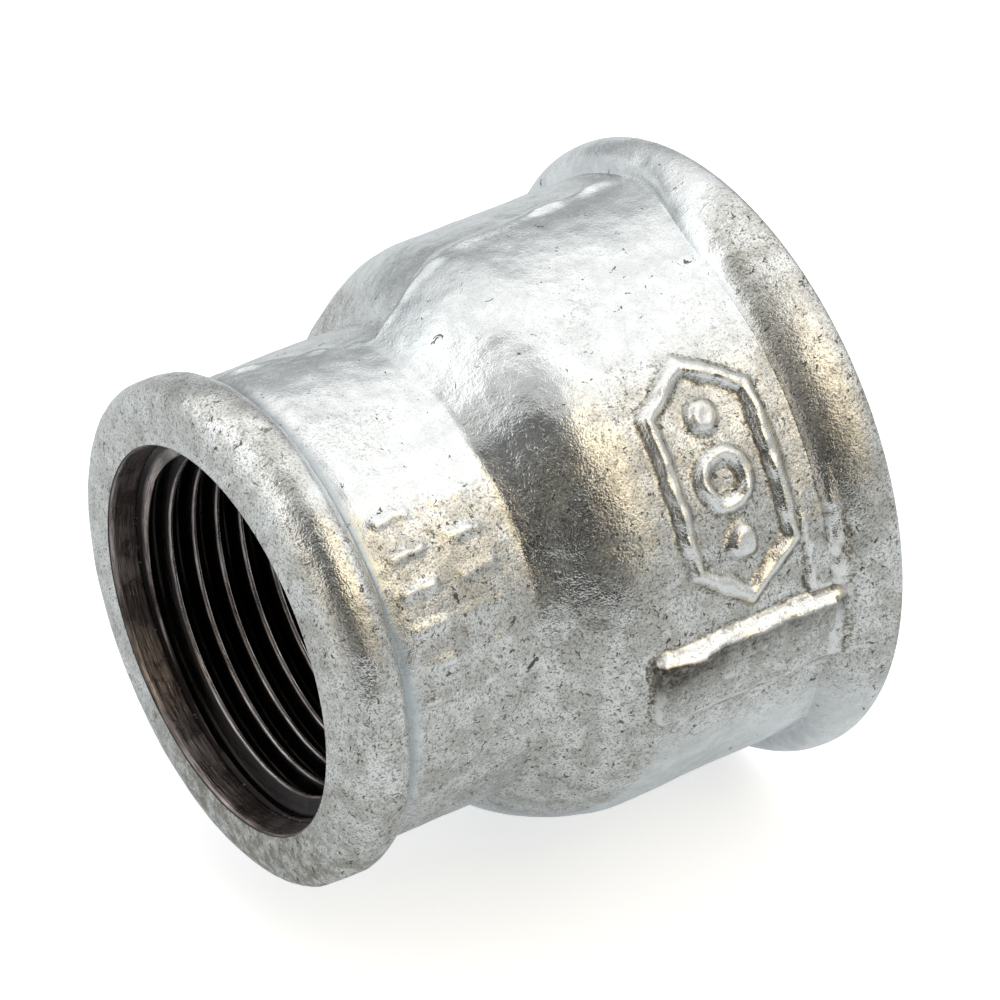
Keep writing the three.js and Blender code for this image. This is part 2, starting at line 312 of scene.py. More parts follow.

# Dirt and wear, and painted light and shade, each in its place.
DULL = dict(rise=(16.0, 19.5), fall=(32.0, 26.0), near_side=(0.5, -0.5), reach=5.0, strength=0.45)
GRIME = dict(angle=75.0, around=(75.0, 25.0), fall=(9.0, 3.0))
# Dark dirt and painted shade under each rib's crest.
SOOT_AND_SHADE = dict(rise=(-0.3, 0.2), reach=3.0, least=0.42, full=2.0, thinning=4.0, end_edge=0.5)
# Where the painted highlight on each rib's steep upper wall starts and stops.
RIB_WALL_HIGHLIGHT = dict(low_edge=(-0.1, 0.2), fall=(0.35, 0.0), start_edge=0.6, past_end=0.3)
GROOVE_CLEAN = 0.85  # the share of the stain that the groove behind the small bead is free of
HOLLOW_REACH = 2  # in rows and columns: a hollow or a crest stands out from what is this near
HOLLOW_FULL = 0.10  # a hollow or a crest of this height has its full effect
MARK_CREST = (0.2, 0.5)  # heights of the mark between which it becomes rubbed and takes a painted highlight

# The lower and upper edges of the stained sides, in degrees from each side's middle, at a few
# stations. The far side is a weaker copy of the near one.
STAIN_SIDES = ((0.0, 1.0), (180.0, 0.8))
STAIN_LOWER_FADE = (12.0, -4.0)
STAIN_UPPER_FADE = (-14.0, 0.0)
STAIN_STATIONS = (0.0, 4.0, 8.0, 23.0, 28.0, LENGTH)
STAIN_LOWER_EDGES = (130.0, 110.0, 56.0, 52.0, 12.0, 14.0)
STAIN_UPPER_STATIONS = (0.0, 4.0, 8.0, 21.0, 31.0, 44.0, 46.0, LENGTH)
STAIN_UPPER_EDGES = (-58.0, -52.0, -43.0, -44.0, -52.0, -50.0, -74.0, -76.0)


def turn_from(angles, centre):
    """Signed degrees from a centre angle, from -180 to 180."""
    return (angles - centre + 180.0) % 360.0 - 180.0


def arc(angles, centre, radius):
    """Signed millimetres round a barrel from a centre angle."""
    return np.radians(turn_from(angles, centre)) * radius


def box_distance(across, along, half_width, half_height, radius):
    """Distance outside a rounded rectangle, negative inside it."""
    dx = np.abs(across) - half_width + radius
    dy = np.abs(along) - half_height + radius
    outside = np.hypot(np.maximum(dx, 0), np.maximum(dy, 0))
    return outside + np.minimum(np.maximum(dx, dy), 0) - radius


def hexagon_distance(across, along, half_width, half_height, shoulder):
    """Distance outside a long hexagon with its two points along the barrel's round."""
    slope = (half_height - shoulder) / half_width
    roof = (np.abs(along) + np.abs(across) * slope - half_height) / math.hypot(1.0, slope)
    return np.maximum(np.abs(across) - half_width, roof)


def raised(distance, tall, edge=EDGE):
    """A raised shape with cast edges, from the distance to its outline."""
    return tall * smooth(edge / 2, -edge / 2, distance)


def rib_height(stations, angles):
    """Grip ribs along the large barrel: a steep upper wall and a face that falls away below it."""
    middle = (RIBS["start"] + RIBS["end"]) / 2
    half = (RIBS["end"] - RIBS["start"]) / 2
    height = np.zeros_like(stations)
    for crest in RIBS["angles"]:
        around = arc(angles, crest, LARGE_BARREL)
        wall = np.clip(1.0 + around / RIBS["wall"], 0.0, 1.0) ** RIBS["wall_power"]
        down = np.clip(around / RIBS["slope"], 0, 1) ** RIBS["slope_power"]
        fall = RIBS["tall"] + (RIBS["low"] - RIBS["tall"]) * down
        centre = (RIBS["slope"] + RIBS["foot"] - RIBS["wall"]) / 2
        half_round = (RIBS["slope"] + RIBS["foot"] + RIBS["wall"]) / 2
        outline = box_distance(stations - middle, around - centre, half, half_round, RIBS["corner"])
        height = np.maximum(height, wall * fall * smooth(RIBS["edge"], -RIBS["foot"], outline))
    return height


def size_bar_height(stations, angles):
    """A raised bar round the large barrel, beside the bead, that fades out at its upper end."""
    across = stations - (SIZE_BAR["start"] + SIZE_BAR["end"]) / 2
    bar = raised(np.abs(across) - (SIZE_BAR["end"] - SIZE_BAR["start"]) / 2, SIZE_BAR["tall"])
    turn = turn_from(angles, 0.0)
    return bar * smooth(*SIZE_BAR["rise"], turn) * smooth(*SIZE_BAR["fall"], turn)


def joint_distance(stations, angles, radii):
    """Millimetres beyond the upper joint of the mould, and the nearest distance to either joint."""
    line = np.interp(stations, JOINT_STATIONS, JOINT_ANGLES)
    turn = turn_from(angles, line)
    beyond = -radii * np.sin(np.radians(turn))
    return beyond, np.abs(beyond)


def uneven_waist(stations, angles):
    """The radius of the waist as the two halves of the mould left it."""
    beyond, _ = joint_distance(stations, angles, SMALL_BARREL)
    far_share = smooth(-HALVES_BLEND, HALVES_BLEND, beyond)
    shape = []
    for value in ("start", "power", "fillet"):
        near, far = [
            np.interp(turn_from(angles, half["centre"]), half["angles"], half[value])
            for half in (NEAR_WAIST, FAR_WAIST)
        ]
        shape.append(near + (far - near) * far_share)
    return waist_radii(stations, *shape)


def flash_height(stations, nearest):
    """The low line of metal that squeezed out between the halves of the mould."""
    line = FLASH["tall"] * bell(nearest, FLASH["half_width"])
    return line * smooth(*FLASH["rise"], stations) * smooth(*FLASH["fall"], stations)


def stained_share(stations, angles):
    """Where the skin is dirty and coarse: the two sides that it has lain on and been handled by."""
    lower_edge = np.interp(stations, STAIN_STATIONS, STAIN_LOWER_EDGES)
    upper_edge = np.interp(stations, STAIN_UPPER_STATIONS, STAIN_UPPER_EDGES)
    share = np.zeros_like(stations)
    for side, strength in STAIN_SIDES:
        turn = turn_from(angles, side)
        above = smooth(*(lower_edge + edge for edge in STAIN_LOWER_FADE), turn)
        below = smooth(*(upper_edge + edge for edge in STAIN_UPPER_FADE), turn)
        share = np.maximum(share, strength * above * below)
    return share


def rib_wall_highlight_share(stations, angles):
    """1 on the steep upper wall of each rib, which gets a painted highlight."""
    share = np.zeros_like(stations)
    for crest in RIBS["angles"]:
        around = arc(angles, crest, LARGE_BARREL)
        above_foot = smooth(*(edge - RIBS["wall"] for edge in RIB_WALL_HIGHLIGHT["low_edge"]), around)
        share = np.maximum(share, above_foot * smooth(*RIB_WALL_HIGHLIGHT["fall"], around))
    after_start = smooth(RIBS["start"], RIBS["start"] + RIB_WALL_HIGHLIGHT["start_edge"], stations)
    return share * after_start * (stations < RIBS["end"] + RIB_WALL_HIGHLIGHT["past_end"])


def soot_and_shade_share(stations, angles):
    """Dark dirt and painted shade under each rib's crest, thickest at the end away from the bead.
    """
    from_start = stations - RIBS["start"]
    thinned = np.exp(-np.maximum(from_start - SOOT_AND_SHADE["full"], 0.0) / SOOT_AND_SHADE["thinning"])
    along = SOOT_AND_SHADE["least"] + (1.0 - SOOT_AND_SHADE["least"]) * thinned
    on_rib = smooth(-SOOT_AND_SHADE["end_edge"], SOOT_AND_SHADE["end_edge"], from_start) * (stations < RIBS["end"])
    share = np.zeros_like(stations)
    for crest in RIBS["angles"]:
        around = arc(angles, crest, LARGE_BARREL)
        below = smooth(*SOOT_AND_SHADE["rise"], around) * np.exp(-np.maximum(around, 0.0) / SOOT_AND_SHADE["reach"])
        share = np.maximum(share, below * along * on_rib)
    return share


def grime_share(stations, angles):
    """Where dirt is ground into the underside of the small end, towards its face."""
    around = np.abs(turn_from(angles, GRIME["angle"]))
    return smooth(*GRIME["around"], around) * smooth(*GRIME["fall"], stations)


def dull_share(stations, beyond):
    """Where the zinc has gone dull and grey: the near half of the waist, beside the joint."""
    beside = bell(beyond, DULL["reach"]) * smooth(*DULL["near_side"], beyond)
    along = smooth(*DULL["rise"], stations) * smooth(*DULL["fall"], stations)
    return DULL["strength"] * beside * along


def mark_height(stations, angles):
    """A plain foundry mark: a long hexagonal frame around a ring between two pips."""
    across = stations - MARK["station"]
    along = arc(angles, MARK["angle"], LARGE_BARREL)
    half_line = MARK["line"] / 2
    middle_line = hexagon_distance(
        across, along, MARK["half_width"] - half_line, MARK["half_height"] - half_line,
        MARK["shoulder"],
    )
    distance = np.abs(middle_line) - half_line
    ring = np.abs(np.hypot(across, along) - MARK_RING["radius"]) - MARK_RING["line"] / 2
    distance = np.minimum(distance, ring)
    for offset in (-MARK_PIPS["offset"], MARK_PIPS["offset"]):
        distance = np.minimum(distance, np.hypot(across, along - offset) - MARK_PIPS["radius"])
    return raised(distance + MARK["thinner"], MARK["tall"], MARK["edge"])


def tally_height(stations, angles, worn):
    """Two worn rows of plain tally strokes on the small barrel."""
    along = arc(angles, TALLY["angle"], SMALL_BARREL)
    height = np.zeros_like(stations)
    for row in TALLY["stations"]:
        for stroke in range(TALLY["strokes"]):
            middle = (stroke - (TALLY["strokes"] - 1) / 2) * TALLY["gap"]
            distance = box_distance(
                stations - row, along - middle, TALLY["length"] / 2, TALLY["width"] / 2,
                TALLY["corner"],
            )
            height = np.maximum(height, raised(distance, TALLY["tall"], TALLY["edge"]))
    return height * np.clip(TALLY["share"] + worn, *TALLY["limits"])


# --- the mesh -------------------------------------------------------------------------------------

JOIN_WITHIN = 0.002 * MM
SHORTEST_EDGE = 0.001 * MM
SHARP_ANGLE = math.radians(50)


def column_angles():
    """The angle of each column of the mesh, in degrees."""
    return np.arange(COLUMNS) * 360.0 / COLUMNS


def spun(stations, radii, angles):
    """Points in the row frame, in millimetres, from stations, radii and angles."""
    turn = np.radians(angles)
    return np.stack([
        SMALL_FACE_X + stations, -radii * np.cos(turn), -radii * np.sin(turn)
    ], axis=-1)


def blurred(grid, reach):
    """The grid, blurred over a number of rows and columns. Columns wrap round."""
    weights = bell(np.arange(-2 * reach, 2 * reach + 1), reach)
    weights /= weights.sum()
    for axis, mode in ((0, "edge"), (1, "wrap")):
        pad = [(0, 0), (0, 0)]
        pad[axis] = (2 * reach, 2 * reach)
        wide = np.pad(grid, pad, mode=mode)
        length = grid.shape[axis]
        grid = sum(
            weight * np.take(wide, np.arange(k, k + length), axis=axis)
            for k, weight in enumerate(weights)
        )
    return grid


def outside_rows():
    """(rows, columns) stations and radii of the cast outside and its faces, and surface masks."""
    full, worn = outside_outline(**FULL_BEADS), outside_outline(**WORN_BEADS)
    rows, worn_rows = [
        soften(line, ROW_STEP, CORNER_SOFTNESS) for line in even_rows(full, worn, ROW_STEP)
    ]
    along = np.gradient(rows, axis=0)
    along /= np.linalg.norm(along, axis=1, keepdims=True)
    normal = np.column_stack([-along[:, 1], along[:, 0]])
    angles = np.broadcast_to(column_angles(), (len(rows), COLUMNS))
    turn = turn_from(angles, 0.0)
    fade_in, worn_from, worn_to, fade_out = WORN_ANGLES
    worn_share = smooth(fade_in, worn_from, turn) * smooth(fade_out, worn_to, turn)
    stations = rows[:, :1] + (worn_rows[:, :1] - rows[:, :1]) * worn_share
    radii = rows[:, 1:] + (worn_rows[:, 1:] - rows[:, 1:]) * worn_share
    on_waist = (stations > WAIST_START - WAIST_REACH) & (stations < WAIST_END)
    radii = np.where(on_waist, uneven_waist(stations, angles), radii)
    flat = spun(stations, radii, angles).reshape(-1, 3)
    shape = angles.shape

    def wander(size, reach, seed):
        return (reach * lattice_noise(flat, size, seed)).reshape(shape)

    at_station = stations + wander(**STATION_WANDER)
    at_angle = angles + wander(**ANGLE_WANDER)
    beyond, nearest = joint_distance(stations, at_angle, radii)

    ribs = rib_height(at_station, at_angle)
    mark = mark_height(at_station, at_angle)
    tally = tally_height(at_station, at_angle, wander(**TALLY_WEAR))
    relief = np.maximum(ribs, size_bar_height(at_station, at_angle)) + mark + tally
    flash_share = np.clip(FLASH["share"] + wander(**FLASH_WEAR), *FLASH["limits"])
    flash = flash_height(stations, nearest) * flash_share
    relief = relief * (1.0 + wander(**RELIEF_WEAR)) + flash
    in_groove = bell(stations - SMALL_GROOVE["station"], SMALL_GROOVE["half_width"])
    groove = SMALL_GROOVE["depth"] * in_groove
    on_barrel = smooth(*BARREL_EDGE, stations) * smooth(*BARREL_EDGE, LENGTH - stations)
    cast = lumps(flat, **CAST_LUMPS).reshape(shape)
    cast = cast * (FACE_LUMPS + (1.0 - FACE_LUMPS) * on_barrel)
    cast = cast * (1.0 - BEAD_LUMPS["taken"] * smooth(*BEAD_LUMPS["rise"], radii))
    height = (relief - groove) * on_barrel + cast
    height = height * smooth(*END_FADE, rows_from_ends(len(rows), ROW_STEP))[:, None]
    new_stations = np.clip(stations + normal[:, :1] * height, 0.0, LENGTH)
    new_radii = radii + normal[:, 1:] * height
    cosine = np.cos(np.radians(turn_from(angles, GROUND_FLAT["angle"])))
    on_flat = (stations < GROUND_FLAT["end"]) & (cosine > GROUND_FLAT["least_cosine"])
    chord = (SMALL_BEAD - GROUND_FLAT["depth"]) / np.where(on_flat, cosine, 1.0)
    new_radii = np.where(on_flat, np.minimum(new_radii, chord), new_radii)
    new_radii = np.minimum(new_radii, WIDEST)

    shaped = relief * on_barrel
    hollow = blurred(shaped, HOLLOW_REACH) - shaped
    raised_share = np.clip(-hollow / HOLLOW_FULL, 0.0, 1.0)
    masks = dict(
        # Where the skin lies below raised edges nearby: dirt and painted shade go there.
        hollow=np.clip(hollow / HOLLOW_FULL, 0.0, 1.0),
        crest=np.maximum(raised_share, smooth(*MARK_CREST, mark)),
        stained=stained_share(stations, at_angle) * (1.0 - GROOVE_CLEAN * in_groove),
        grime=grime_share(stations, at_angle),
        # Dull grey zinc beside the joint, and painted shade in the groove behind the small bead.
        dull_and_groove_shade=np.maximum(in_groove ** 3, dull_share(stations, beyond)),
        # The ribs' upper walls, for a painted highlight.
        wall=rib_wall_highlight_share(stations, at_angle),
        # Dark dirt and painted shade under the ribs.
        soot_and_shade=soot_and_shade_share(stations, at_angle),
    )
    return new_stations, new_radii, masks


def thread_depth(phase):
    """How far from crest to root a thread is at a fraction of its pitch, 0 being a crest."""
    off_crest = np.abs((phase + 0.5) % 1.0 - 0.5)
    return smooth(CREST_HALF - FLANK_ROUND, CREST_HALF + FLANK + FLANK_ROUND, off_crest)


def thread_rows(bore, low_station, wide_ends):
    """(rows, columns) stations and radii of a right-hand thread, and each point's painted light.

    Rows follow the helix, so a row's last column meets the first column of the row a pitch further
    on. The bore's phase is in pitches. A cone leads into each end, from the radii in wide_ends.
    """
    phase = bore["phase"]
    span = bore["turns"] * PITCH
    pitches = np.arange(-2, int(math.ceil(bore["turns"])) + 1)
    wanted = (pitches[:, None] + THREAD_STEPS[None, :]).ravel() + phase
    turn = column_angles() / 360.0
    along = np.clip((wanted[:, None] + turn[None, :]) * PITCH, 0.0, span)
    depth = thread_depth(along / PITCH - turn[None, :] - phase)
    radii = bore["crest"] + (bore["root"] - bore["crest"]) * depth
    cone_low = wide_ends[0] + (bore["crest"] - wide_ends[0]) * along / RUN_IN
    cone_high = wide_ends[1] + (bore["crest"] - wide_ends[1]) * (span - along) / RUN_IN
    cone = np.maximum(cone_low, cone_high)
    # Painted highlight over the crest and on the cones that lead in.
    crest = smooth(*CREST_FALL, depth) * smooth(*CREST_CUT_FALL, cone - bore["crest"])
    lead_in = smooth(*LEAD_IN_RISE, cone - radii)
    lead_in = lead_in * smooth(*LEAD_IN_FROM_END, np.minimum(along, span - along))
    painted_light = np.maximum(crest, LEAD_IN_PAINTED_LIGHT * lead_in)
    return low_station + along, np.maximum(radii, cone), painted_light


def ring_rows(pairs):
    """(rows, columns) stations and radii of plain rings, from (station, radius) pairs."""
    pairs = np.asarray(pairs, float)
    shape = (len(pairs), COLUMNS)
    return np.broadcast_to(pairs[:, :1], shape), np.broadcast_to(pairs[:, 1:], shape)


def line_rows(start, end, count):
    """A number of (station, radius) pairs along a straight line."""
    return [tuple(pair) for pair in np.linspace(start, end, count)]


def inside_rows():
    """The cut and cored inside, from the large mouth to the small one.

    Gives stations, radii, masks, and the row that each row meets where the columns join up.
    """
    small_end = SMALL_BORE["depth"] + SMALL_BORE["turns"] * PITCH
    large_end = LENGTH - LARGE_BORE["depth"] - LARGE_BORE["turns"] * PITCH
    small_relief = SMALL_BORE["root"] + RELIEF
    large_relief = LARGE_BORE["root"] + RELIEF
    large_throat = (LENGTH - LARGE_BORE["depth"], LARGE_BORE["throat"])
    large_mouth = ring_rows(
        [(LENGTH - MOUTH_CHAMFER, LARGE_BORE["mouth"])]
        + line_rows((LENGTH - MOUTH_RIM, LARGE_BORE["mouth"]), large_throat,
                    INSIDE_ROWS["large_mouth"])
    )
    large_thread = thread_rows(LARGE_BORE, large_end, (large_relief, LARGE_BORE["throat"]))
    taper = (
        (large_end - CORE["taper_start"], CORE["taper_radius"]),
        (small_end + CORE["taper_end"], small_relief),
    )
    straight_end = large_end - CORE["large_straight"]
    straight_start = small_end + CORE["small_straight"]
    core = ring_rows(
        line_rows((large_end, large_relief), (straight_end, large_relief),
                  INSIDE_ROWS["large_straight"])
        + line_rows(*taper, INSIDE_ROWS["taper"])
        + line_rows((straight_start, small_relief), (small_end, small_relief),
                    INSIDE_ROWS["small_straight"])
    )
    small_throat = (SMALL_BORE["depth"], SMALL_BORE["throat"])
    small_thread = thread_rows(SMALL_BORE, small_throat[0], (small_throat[1], small_relief))
    small_mouth = ring_rows(
        line_rows(small_throat, (MOUTH_RIM, SMALL_BORE["mouth"]), INSIDE_ROWS["small_mouth"])
        + [(MOUTH_CHAMFER, SMALL_BORE["mouth"])]
    )
    parts = [large_mouth, [rows[::-1] for rows in large_thread[:2]], core,
             [rows[::-1] for rows in small_thread[:2]], small_mouth]
    stations = np.concatenate([part[0] for part in parts])
    radii = np.concatenate([part[1] for part in parts])
    counts = [len(part[0]) for part in parts]
    # Painted light inside: mouths at the wall colour, highlights on thread crests, painted shade in
    # roots and the cored middle.
    painted_light = np.concatenate([
        np.full((counts[0], COLUMNS), MOUTH_PAINTED_LIGHT), large_thread[2][::-1],
        np.full((counts[2], COLUMNS), CORE_PAINTED_LIGHT), small_thread[2][::-1],
        np.full((counts[4], COLUMNS), MOUTH_PAINTED_LIGHT),
    ])
    angles = np.broadcast_to(column_angles(), stations.shape)
    flat = spun(stations, radii, angles).reshape(-1, 3)
    rough = lumps(flat, **CORE_LUMPS).reshape(stations.shape)
    cored = np.zeros(len(stations))
    core_start = counts[0] + counts[1]
    cored[core_start + SMOOTH_ROWS:core_start + counts[2] - SMOOTH_ROWS] = 1.0
    row = np.arange(len(stations))
    meets = row.copy()
    for first, count in ((counts[0], counts[1]), (core_start + counts[2], counts[3])):
        inside = (row >= first) & (row < first + count)
        meets[inside] = np.maximum(row[inside] - len(THREAD_STEPS), first)
    return stations, radii + rough * cored[:, None], dict(painted_light=painted_light), meets


def casting_mesh():
    """The whole casting as one closed mesh of rings, with its cut metal in a slot of its own."""
    out_stations, out_radii, out_masks = outside_rows()
    in_stations, in_radii, in_masks, in_meets = inside_rows()
    stations = np.concatenate([out_stations, in_stations])
    radii = np.concatenate([out_radii, in_radii])
    angles = np.broadcast_to(column_angles(), stations.shape)
    points = spun(stations, radii, angles).reshape(-1, 3) * MM
    row_count = len(stations)
    meets = np.concatenate([np.arange(len(out_stations)), len(out_stations) + in_meets])
    row = np.repeat(np.arange(row_count)[:, None], COLUMNS, axis=1)
    column = np.repeat(np.arange(COLUMNS)[None, :], row_count, axis=0)
    across_row = row.copy()
    across_row[:, -1] = meets
    next_column = (column + 1) % COLUMNS
    quads = np.stack([
        row * COLUMNS + column,
        across_row * COLUMNS + next_column,
        np.roll(across_row, -1, axis=0) * COLUMNS + next_column,
        np.roll(row, -1, axis=0) * COLUMNS + column,
    ], axis=-1).reshape(-1, 4)
    slots = np.repeat(np.arange(row_count) >= len(out_stations), COLUMNS)
    mesh = bpy.data.meshes.new("reducer_casting")
    mesh.from_pydata(points.tolist(), [], quads.tolist())
    mesh.polygons.foreach_set("material_index", slots.astype(np.int32))
    for name in [*out_masks, *in_masks]:
        outer = out_masks.get(name, np.zeros(out_stations.shape))
        inner = in_masks.get(name, np.zeros(in_stations.shape))
        values = np.concatenate([outer, inner]).ravel().astype(np.float32)
        mesh.attributes.new(name, "FLOAT", "POINT").data.foreach_set("value", values)
    mesh.update()
    return mesh


def tidy_mesh(mesh):
    """Joins the points that the square-cut thread ends fold together, and smooths the shading."""
    work = bmesh.new()
    work.from_mesh(mesh)
    bmesh.ops.remove_doubles(work, verts=work.verts, dist=JOIN_WITHIN)
    bmesh.ops.dissolve_degenerate(work, edges=work.edges, dist=SHORTEST_EDGE)
    bmesh.ops.recalc_face_normals(work, faces=work.faces)
    for face in work.faces:
        face.smooth = True
    open_edges = sum(1 for edge in work.edges if len(edge.link_faces) != 2)
    print("casting faces", len(work.faces), "edges not shared by two faces", open_edges)
    work.to_mesh(mesh)
    work.free()
    mesh.set_sharp_from_angle(angle=SHARP_ANGLE)


# --- materials ------------------------------------------------------------------------------------

ZINC_DARK, ZINC_LIGHT = (0.725, 0.75, 0.745, 1), (0.925, 0.945, 0.935, 1)
ZINC_STAINED = (0.83, 0.82, 0.755, 1)
ZINC_SPECK = (0.38, 0.38, 0.38, 1)
ZINC_GRIT = (0.27, 0.265, 0.255, 1)
ZINC_DIRT = (0.17, 0.145, 0.095, 1)
ZINC_NICK = (0.05, 0.045, 0.04, 1)
# Rubbed metal, and a painted highlight on raised crests and rib walls.
ZINC_RUBBED_AND_HIGHLIGHT = (0.96, 0.96, 0.94, 1)
ZINC_SOOT_AND_SHADE = (0.06, 0.048, 0.03, 1)
# Dull grey zinc, also used for the painted shade in the small bead's groove.
ZINC_DULL_AND_SHADE = (0.32, 0.36, 0.38, 1)
ZINC_METALLIC = 0.95

IRON_DARK, IRON_LIGHT = (0.25, 0.21, 0.20, 1), (0.50, 0.43, 0.41, 1)
IRON_GROOVE = (0.045, 0.035, 0.032, 1)
# Painted shade for thread roots and a painted highlight for thread crests.
IRON_ROOT_SHADE = (0.018, 0.015, 0.014, 1)
IRON_CREST_HIGHLIGHT = (0.62, 0.60, 0.57, 1)
IRON_SPOT = (0.03, 0.025, 0.022, 1)
IRON_METALLIC = 0.9

# Bump heights, in metres. The two grains are shares of a height, which goes from a smooth skin's to
# a coarse skin's.
GRAIN_BUMP, FINE_GRAIN_BUMP = 0.030, 0.020
SKIN_BUMP = (0.6 * MM, 1.1 * MM)
MOTTLE_BUMP, PIMPLE_BUMP, NICK_BUMP = 0.050 * MM, 0.009 * MM, 0.045 * MM
IRON_RING_BUMP, IRON_GRAIN_BUMP = 0.035 * MM, 0.015 * MM

SPECK_EDGE = (1.25, 0.7)  # in radii of a speck
CRACK_EDGE = 0.035
TURNING_MARKS = (7.0, 0.35, 0.35)  # fine along the pipe axis, long round it


class Nodes:
    """Short names for building a shader's node tree."""

    def __init__(self, tree):
        self.tree = tree
        tree.nodes.clear()

    def node(self, kind, inputs=None, **settings):
        made = self.tree.nodes.new(kind)
        for key, value in settings.items():
            setattr(made, key, value)
        for key, value in (inputs or {}).items():
            self.set(made.inputs[key], value)
        return made

    def set(self, socket, value):
        if isinstance(value, bpy.types.NodeSocket):
            self.tree.links.new(value, socket)
        else:
            socket.default_value = value

    def attribute(self, name):
        return self.node("ShaderNodeAttribute", attribute_name=name).outputs["Fac"]

    def math(self, operation, a, b, clamp=False):
        made = self.node("ShaderNodeMath", {0: a, 1: b}, operation=operation, use_clamp=clamp)
        return made.outputs[0]

    def plus(self, a, b, clamp=False):
        return self.math("ADD", a, b, clamp)

    def times(self, a, b):
        return self.math("MULTIPLY", a, b)

    def most(self, a, b):
        return self.math("MAXIMUM", a, b)

    def ramp(self, value, low, high, to=(0.0, 1.0)):
        """Eases between the two values of to, as a value goes from low to high."""
        made = self.node(
            "ShaderNodeMapRange",
            {"Value": value, "From Min": low, "From Max": high, "To Min": to[0], "To Max": to[1]},
            interpolation_type="SMOOTHSTEP",
        )
        return made.outputs["Result"]

    def mix(self, share, a, b):
        made = self.node("ShaderNodeMix", data_type="RGBA")
        self.set(made.inputs[0], share)
        self.set(made.inputs[6], a)
        self.set(made.inputs[7], b)
        return made.outputs[2]

    def millimetres(self, scale=(1.0, 1.0, 1.0)):
        """Object coordinates in millimetres, times a number for each axis."""
        place = self.node("ShaderNodeTexCoord").outputs["Object"]
        made = self.node("ShaderNodeVectorMath", {0: place, 1: Vector(scale) / MM},
                         operation="MULTIPLY")
        return made.outputs[0]

    def noise(self, vector, size, detail, roughness, distortion=0.0):
        """Noise from 0 to 1 with lumps of about the given size in the vector's units."""
        made = self.node(
            "ShaderNodeTexNoise",
            {"Vector": vector, "Scale": 1.0 / size, "Detail": detail, "Roughness": roughness,
             "Distortion": distortion},
        )
        return made.outputs[0]

    def specks(self, vector, spacing, radius):
        """1 in round specks of about a radius, scattered one to each spacing, 0 elsewhere."""
        made = self.node(
            "ShaderNodeTexVoronoi", {"Vector": vector, "Scale": 1.0 / spacing, "Randomness": 1.0},
            feature="F1",
        )
        outer, inner = (radius / spacing * edge for edge in SPECK_EDGE)
        return self.ramp(made.outputs["Distance"], outer, inner)

    def cracks(self, vector, size, share):
        """Ragged nicks: the lowest few parts of a rough noise. A larger share gives more."""
        rough = self.noise(vector, size, detail=3.0, roughness=0.75, distortion=0.6)
        return self.ramp(rough, share, share - CRACK_EDGE)

    def finish(self, kind, shader):
        """Sends a shader to the tree's output."""
        self.tree.links.new(shader, self.node(kind).inputs[0])


def new_material(name):
    material = bpy.data.materials.new(name)
    material.use_nodes = True
    return material, Nodes(material.node_tree)


def finish_material(nodes, inputs, height):
    """The principled shader with a bump of a height in metres."""
    bump = nodes.node("ShaderNodeBump", {"Strength": 1.0, "Distance": 1.0, "Height": height})
    shader = nodes.node("ShaderNodeBsdfPrincipled", {**inputs, "Normal": bump.outputs[0]})
    nodes.finish("ShaderNodeOutputMaterial", shader.outputs[0])


